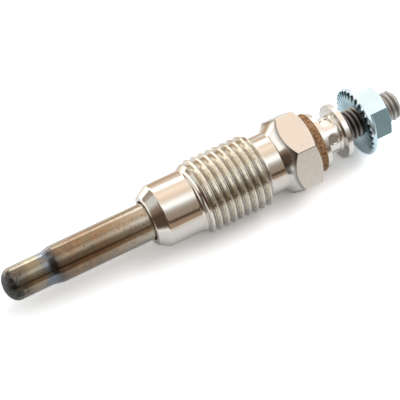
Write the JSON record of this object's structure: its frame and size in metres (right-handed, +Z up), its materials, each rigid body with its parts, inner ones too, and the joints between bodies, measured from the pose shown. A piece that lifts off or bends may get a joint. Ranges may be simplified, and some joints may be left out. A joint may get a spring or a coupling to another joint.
{
  "type": "diesel glow plug",
  "caption": "Glow plug with a sheathed heater tube, threaded steel body with hexagon, insulating washer, crimped collar, threaded terminal stud and serrated flange nut.",
  "frame": {"origin": "on the plug's axis, where the conical seat meets the plain shank", "axes": "-X along the axis towards the heater tip, the way the head leaves the thread; +X towards the terminal; +Z up, opposite the hexagon flat that the plug lies on"},
  "size_m": [0.0688, 0.0138, 0.012],
  "materials": {
    "body_nickel": "bright nickel plate with turning marks",
    "tube_steel": "heat-tinted nickel alloy, bronze brown with a dark tip",
    "coil_wire": "drawn resistance wire",
    "powder": "packed white powder",
    "seal_rubber": "moulded rubber",
    "stud_steel": "rolled thread, dull grey steel",
    "fibre": "pressed brown fibre",
    "collar_nickel": "bright nickel plate",
    "nut_zinc": "blue-white zinc plate"
  },
  "bodies": {
    "root": {"plug_body": "body_nickel", "heater_tube": "tube_steel", "heating_coil": "coil_wire", "regulating_coil": "coil_wire", "magnesia_fill": "powder", "tube_seal": "seal_rubber", "terminal_stud": "stud_steel", "body_seal": "seal_rubber", "insulating_washer": "fibre", "crimp_collar": "collar_nickel", "terminal_nut": "nut_zinc"}
  },
  "joints": []
}
